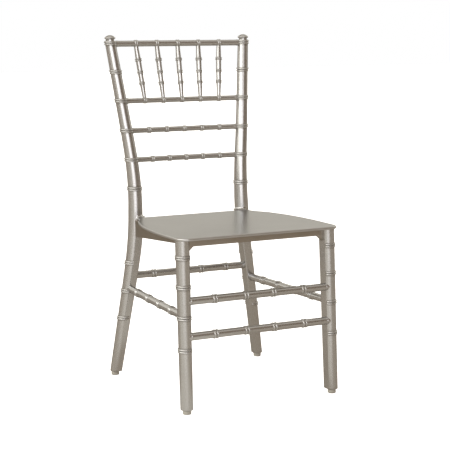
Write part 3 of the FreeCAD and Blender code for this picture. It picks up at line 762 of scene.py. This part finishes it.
# %% Seat outline
RIM = 3.3 * MM
SAME_LEVEL = 0.1 * MM
OFF_POST = 1.2 * MM
LEAST_GAP = 0.3 * MM
OUTLINE_POINTS = 480
plate_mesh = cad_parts["seat_plate"].data
plate_points = np.zeros(len(plate_mesh.vertices) * 3)
plate_mesh.vertices.foreach_get("co", plate_points)
plate_points = plate_points.reshape(-1, 3)
at_rim = np.abs(plate_points[:, 2] - (seat_bottom + RIM)) < SAME_LEVEL
rim_points = plate_points[at_rim][:, :2]
post_at_seat = on_axis(rear_axis, seat_top)[:2]
for sign in (1, -1):
    away = np.linalg.norm(rim_points - post_at_seat * np.array([sign, 1]), axis=1)
    rim_points = rim_points[away > rear_radius(np.array([seat_top]))[0] + OFF_POST]
middle = np.array([0.0, (plate_low.y + plate_high.y) / 2])
order = np.argsort(np.arctan2(rim_points[:, 1] - middle[1], rim_points[:, 0] - middle[0]))
loop = rim_points[order]
loop = loop[np.concatenate([[True], np.linalg.norm(np.diff(loop, axis=0), axis=1) > LEAST_GAP])]
closed = np.concatenate([loop, loop[:1]])
travelled = np.concatenate([[0], np.cumsum(np.linalg.norm(np.diff(closed, axis=0), axis=1))])
even = np.linspace(0, travelled[-1], OUTLINE_POINTS, endpoint=False)
outline = np.stack([np.interp(even, travelled, closed[:, i]) for i in range(2)], -1)
ahead = np.roll(outline, -1, 0) - np.roll(outline, 1, 0)
outward = unit(np.stack([ahead[:, 1], -ahead[:, 0]], -1))
outward = unit(sum(np.roll(outward, shift, 0) for shift in range(-2, 3)))
print("seat outline", len(loop), "measured points,", round(travelled[-1], 3), "m round")

# %% [markdown]
# ## The seat's rings
# The plate is rolled round its rim: rings go out along the underside, round the edge in two quarter
# circles, and back in over the top. A Bevel modifier could round the edge of a flat plate, but its
# width would change in the tight corners. A ring moves in along each point's outward direction, which
# is averaged over five neighbours, so that the rings don't cross at the rear corners.

# %% Seat plate
SHRINK = np.array([0.97, 0.9, 0.75, 0.5, 0.25, 0.08])[:, None, None]
curl = np.linspace(0, math.pi / 2, 9)
low_rim = np.stack([RIM * (1 - np.sin(curl)), RIM * (1 - np.cos(curl))], -1)
high_rim = np.stack([RIM * (1 - np.cos(curl)), (seat_top - seat_bottom) - RIM * (1 - np.sin(curl))], -1)
rim = np.concatenate([low_rim, high_rim])
rows = []
for inset, lift in rim:
    flat = outline - outward * inset
    rows.append(np.concatenate([flat, np.full((OUTLINE_POINTS, 1), seat_bottom + lift)], 1))
rim_rows = np.stack(rows)
heart = np.array([middle[0], middle[1], 0])
level_only = np.array([1.0, 1.0, 0.0])
top_rows = rim_rows[-1] + (heart - rim_rows[-1]) * level_only * (1 - SHRINK)
bottom_rows = rim_rows[0] + (heart - rim_rows[0]) * level_only * (1 - SHRINK[::-1])
piece("seat", np.concatenate([bottom_rows, rim_rows, top_rows]), seat_coat, "seat_plate")

# %% [markdown]
# ## Seat frame
# Boards on edge run under the seat from leg to leg. Each is a rectangle with softened corners,
# carried from one leg's centre to the next. A stretched cube with a bevel would do for the front and
# rear ones, but the side boards are deeper at the back, so the lower edge gets its own line.

# %% Boards
BOARD = 12.0 * MM
SOFT = 1.5 * MM
BOARD_RINGS = 24
IN_SEAT = 0.4 * MM
SIDE_DROPS = np.array([46.5, 9.4]) * MM
board_top = seat_bottom + IN_SEAT


def board(a, b, low_a, low_b):
    """Rings of a board on edge: a rounded rectangle whose lower edge runs from low_a to low_b."""
    share = np.linspace(0, 1, BOARD_RINGS)[:, None]
    line = a + (b - a) * share
    across = unit(np.cross(b - a, UPRIGHT))
    low = low_a + (low_b - low_a) * share
    turn = np.linspace(0, math.pi / 2, 5)
    half = BOARD / 2
    sides, heights = [], []
    for quarter, (side, up) in enumerate(((1, -1), (1, 1), (-1, 1), (-1, -1))):
        angle = turn + (quarter - 1) * math.pi / 2
        sides.append(side * (half - SOFT) + SOFT * np.cos(angle))
        centre = low + SOFT if up < 0 else board_top - SOFT + 0 * low
        heights.append(centre + SOFT * np.sin(angle)[None, :])
    ring = line[:, None, :] + across * np.concatenate(sides)[None, :, None]
    ring[:, :, 2] = np.concatenate(heights, 1)
    return ring


front_low, rear_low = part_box("apron_front")[0].z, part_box("apron_rear")[0].z
front_corner = on_axis(front_axis, seat_bottom)
rear_corner = on_axis(rear_axis, seat_bottom)
front_line = np.array([front_corner[0], centre_of("apron_front")[1], 0])
rear_line = np.array([rear_corner[0], centre_of("apron_rear")[1], 0])
# The boards get the coat with painted shade, as they sit in the seat's shadow.
piece("apron_front_board", board(front_line * MIRROR, front_line, front_low, front_low),
      shaded_under_coat, "apron_front")
piece("apron_rear_board", board(rear_line * MIRROR, rear_line, rear_low, rear_low),
      shaded_under_coat, "apron_rear")
side_board = board(rear_corner, front_corner, *(seat_bottom - SIDE_DROPS))
both_sides("apron_%s_board", side_board, shaded_under_coat, "apron_%s")

# %% [markdown]
# ## Gussets
# A small three-sided block fills each front corner under the apron. Its long side is at about 45
# degrees, and its roots go into the leg and the apron. It is small enough for a few faces: the
# triangle's outline carried along Y, a little smaller at both ends, so its edges look softened.

# %% Gussets
GUSSET_IN_LEG = 6.0 * MM
GUSSET_IN_APRON = 2.0 * MM
DEPTH_SHARES = np.array([0.0, 0.35, 1.0, 10.5, 11.65, 12.0]) / 12
INSETS = np.array([1.0, 0.35, 0.0, 0.0, 0.35, 1.0]) * MM
gusset_low, gusset_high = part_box("gusset_right")
face_x = on_axis(front_axis, gusset_high.z)[0] - FLAT * front_radius(np.array([gusset_high.z]))[0]
root_x = face_x + GUSSET_IN_LEG
over = gusset_high.z + GUSSET_IN_APRON
corners = np.array([[root_x, over], [gusset_low.x, over], [gusset_low.x, gusset_high.z],
                    [face_x, gusset_low.z], [root_x, gusset_low.z]])
depths = DEPTH_SHARES * (gusset_high.y - gusset_low.y)
block_heart = corners.mean(0)
rings = []
for depth, inset in zip(depths, INSETS):
    ring = corners + unit(block_heart - corners) * inset
    rings.append(np.stack([ring[:, 0], np.full(len(ring), gusset_low.y + depth), ring[:, 1]], -1))
# The gussets get the coat with painted shade too.
both_sides("gusset_block_%s", np.stack(rings), shaded_under_coat, "gusset_%s")

# %% [markdown]
# ## Glides
# Pale nylon pads stand a few millimetres clear of the legs, which leaves a thin dark gap. They are
# turned shapes too, so the finials' function makes them: a pad with rounded edges, and a narrower
# neck that goes up into the leg.

# %% Glides
GLIDE_RADIUS = 10.5 * MM
GLIDE_NECK = 8.0 * MM
PAD_TOP = 9.0 * MM
NECK_TOP = 13.0 * MM
PAD_EDGE = 1.5 * MM
edge = np.linspace(0, math.pi / 2, 6)
small, large = PAD_EDGE * (1 - np.sin(edge)), PAD_EDGE * (1 - np.cos(edge))
pad_profile = np.concatenate([np.stack([GLIDE_RADIUS - small, large], -1),
                              np.stack([GLIDE_RADIUS - large, PAD_TOP - small], -1),
                              [[GLIDE_NECK, PAD_TOP], [GLIDE_NECK, NECK_TOP]]])
for end in ("front", "rear"):
    for hand in ("right", "left"):
        node = "glide_%s_%s" % (end, hand)
        spot = centre_of(node) * level_only
        piece("foot_pad_%s_%s" % (end, hand), turned_upright(pad_profile, spot),
              glide_finish, node)

# %% [markdown]
# ## Screws
# The four screws that hold the seat keep their CAD shape, because only their heads can be seen, from
# below, and a finer mesh would show nothing more. They get the zinc finish.

# %% Screws
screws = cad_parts["seat_screws"]
screws.data.materials.clear()
screws.data.materials.append(screw_finish)
print("screws keep", len(screws.data.polygons), "CAD faces")

# %% [markdown]
# ## Light that depends on direction
# A lacquered metal shows mostly what is round it, so the room matters more than the lamps. Large
# lamps on stands could light the chair, but each patch that the coat mirrors has its own width and
# its own soft edges. So the room itself glows, and its colour is a formula of the direction: soft
# windows of the angle round the chair, times soft windows of the height. The camera's own rays are
# left out of this, because the chair stands on plain white.

# %% Soft windows
def mixed_by_ray(tree, seen_value, other_value):
    """A colour or a link for rays from the camera and another one for all other rays."""
    path = tree.nodes.new("ShaderNodeLightPath")
    return mixed(tree, path.outputs["Is Camera Ray"], other_value, seen_value)


def vector_step(tree, operation, first, second, output=0):
    """One step of vector arithmetic on a link and a constant."""
    made = tree.nodes.new("ShaderNodeVectorMath")
    made.operation = operation
    tree.links.new(first, made.inputs[0])
    made.inputs[1].default_value = second
    return made.outputs[output]


def soft_window(tree, value, off, on):
    """0 up to the first value, 1 from the second, and an S-curve between them."""
    window = remap(tree, value, off, on, 0.0, 1.0)
    window.node.interpolation_type = "SMOOTHSTEP"
    return window


def facing(tree, level, side, off, on):
    """Soft window round one level direction: 1 where a direction's cosine with it is large."""
    return soft_window(tree, vector_step(tree, "DOT_PRODUCT", level, side, "Value"), off, on)


def product(tree, first, second):
    """Product of two links."""
    made = tree.nodes.new("ShaderNodeMath")
    made.operation = "MULTIPLY"
    tree.links.new(first, made.inputs[0])
    tree.links.new(second, made.inputs[1])
    return made.outputs[0]


# %% [markdown]
# ## Floor
# The floor is a wide white sheet. The camera sees it evenly white, so the chair stands in no corner
# or edge. The coat sees it dim and warm, with a faint pool of light in front and to the left.

# %% Floor
FLOOR_HALF = 30.0
PURE_WHITE = (1.0, 1.0, 1.0)
FLOOR_SEEN, FLOOR_MIRRORED = (0.93, 0.93, 0.93), (0.40, 0.40, 0.40)
FLOOR_GLOW, POOL_GLOW = (0.095, 0.060, 0.025), (0.20, 0.21, 0.20)
POOL_SIDE = (-0.627, -0.779, 0)
floor_mesh = bpy.data.meshes.new("floor")
floor_mesh.from_pydata([(-FLOOR_HALF, -FLOOR_HALF, 0), (FLOOR_HALF, -FLOOR_HALF, 0),
                        (FLOOR_HALF, FLOOR_HALF, 0), (-FLOOR_HALF, FLOOR_HALF, 0)], [], [(0, 1, 2, 3)])
floor = bpy.data.objects.new("floor", floor_mesh)
bpy.context.scene.collection.objects.link(floor)
floor_paint, tree, shader, where = node_tree("studio_floor")
tree.links.new(mixed_by_ray(tree, FLOOR_SEEN, FLOOR_MIRRORED), shader.inputs["Base Color"])
pool = facing(tree, vector_step(tree, "NORMALIZE", where, (0, 0, 0)), POOL_SIDE, 0.545, 0.868)
glow = mixed(tree, pool, FLOOR_GLOW, POOL_GLOW, "ADD")
tree.links.new(mixed_by_ray(tree, PURE_WHITE, glow), shader.inputs["Emission Color"])
shader.inputs["Emission Strength"].default_value = 1.0
shader.inputs["Roughness"].default_value = 0.9
shader.inputs["Specular IOR Level"].default_value = 0.1
floor_mesh.materials.append(floor_paint)
print("floor", 2 * FLOOR_HALF, "m wide")

# %% [markdown]
# ## Room
# The coat tells of a warm, dim room. A narrow bright patch stands behind the camera, low over the
# horizon. A wide one to the left begins at the horizon and grows upwards. The wall behind the chair
# is pale, and the ceiling is a little lighter than the rest. Each row below gives a patch's level
# direction, the cosines between which it sets in, its windows of the height, and its colour. A
# height is the Z of a direction, 0 at the horizon and 1 straight up.

# %% Room
ROOM_DUSK = (0.197, 0.150, 0.110)
BEHIND_CAMERA = ((-0.322, -0.947, 0), (0.851, 0.997), [(0.39, 0.33)], (1.92, 1.92, 1.98))
LEFT_WALL = ((-0.981, -0.193, 0), (0.585, 1.0), [(0.0, 0.43), (0.70, 0.62)], (2.60, 2.62, 2.45))
BACK_WALL = ((0.446, 0.895, 0), (0.023, 0.473), [(0.064, 0.104), (0.69, 0.55)], (0.80, 0.80, 0.735))
CEILING_FROM, CEILING_FULL, CEILING = 0.60, 0.90, (0.45, 0.45, 0.42)
studio = bpy.data.worlds.new("studio")
bpy.context.scene.world = studio
studio.use_nodes = True
tree = studio.node_tree
coords = tree.nodes.new("ShaderNodeTexCoord").outputs["Generated"]
height = height_in(tree, coords)
level = vector_step(tree, "MULTIPLY", coords, (1, 1, 0))
level = vector_step(tree, "NORMALIZE", level, (0, 0, 0))
room = ROOM_DUSK
for side, turned, heights, colour in (BEHIND_CAMERA, LEFT_WALL, BACK_WALL):
    patch = facing(tree, level, side, *turned)
    for window in heights:
        patch = product(tree, patch, soft_window(tree, height, *window))
    room = mixed(tree, patch, room, colour, "ADD")
room = mixed(tree, soft_window(tree, height, CEILING_FROM, CEILING_FULL), room, CEILING, "ADD")
tree.links.new(mixed_by_ray(tree, PURE_WHITE, room), tree.nodes["Background"].inputs["Color"])
print("room", len(tree.nodes), "nodes")

# %% [markdown]
# ## Key lamp
# One weak softbox, in front and to the left, gives the beads a small highlight and the chair a faint
# direction. A point lamp would give hard sparks, so it has the size of a small window.

# %% Key lamp
KEY_PLACE, KEY_AIM = Vector((-2.4, -2.6, 1.7)), Vector((0.0, 0.0, 0.5))
KEY_WIDTH, KEY_HEIGHT = 0.7, 0.9
KEY_WATTS = 3
lamp = bpy.data.lights.new("key", "AREA")
lamp.shape = "RECTANGLE"
lamp.size, lamp.size_y = KEY_WIDTH, KEY_HEIGHT
lamp.energy = KEY_WATTS
key = bpy.data.objects.new("key", lamp)
bpy.context.scene.collection.objects.link(key)
aimed = (KEY_AIM - KEY_PLACE).to_track_quat("-Z", "Y").to_matrix().to_4x4()
key.matrix_world = Matrix.Translation(KEY_PLACE) @ aimed
print("key lamp", round((KEY_AIM - KEY_PLACE).length, 2), "m away")

# %% [markdown]
# ## Camera
# The camera's place and direction were solved from pairs of matching points on both sides of the
# chair, which is surer than turning it by eye. It looks down a little, from the front left, through
# a long lens. The place is measured from the middle between the front feet, on the floor.

# %% Camera
SIDE = 450
FOCAL = 1297.98
SENSOR = 36.0
YAW, PITCH, ROLL = 0.462117, 0.144398, -0.008197
CAMERA_X, CAMERA_Y, CAMERA_Z = -1.47825, -2.77516, 0.90558
camera_place = Vector((CAMERA_X, front_foot[1] + CAMERA_Y, CAMERA_Z))
forward = Vector((math.sin(YAW) * math.cos(PITCH), math.cos(YAW) * math.cos(PITCH), -math.sin(PITCH)))
level_right = Vector((math.cos(YAW), -math.sin(YAW), 0))
level_up = level_right.cross(forward)
right = math.cos(ROLL) * level_right + math.sin(ROLL) * level_up
above = -math.sin(ROLL) * level_right + math.cos(ROLL) * level_up
lens = bpy.data.cameras.new("camera")
lens.sensor_width = SENSOR
lens.lens = FOCAL / SIDE * SENSOR
lens.shift_x = -0.5 / SIDE
lens.shift_y = 0.5 / SIDE
camera = bpy.data.objects.new("camera", lens)
bpy.context.scene.collection.objects.link(camera)
turn = Matrix((right, above, -forward)).transposed()
camera.matrix_world = Matrix.Translation(camera_place) @ turn.to_4x4()
bpy.context.scene.camera = camera
bpy.context.scene.view_settings.view_transform = "Standard"
print("camera at", [round(v, 3) for v in camera_place], "with a lens of", round(lens.lens, 1), "mm")
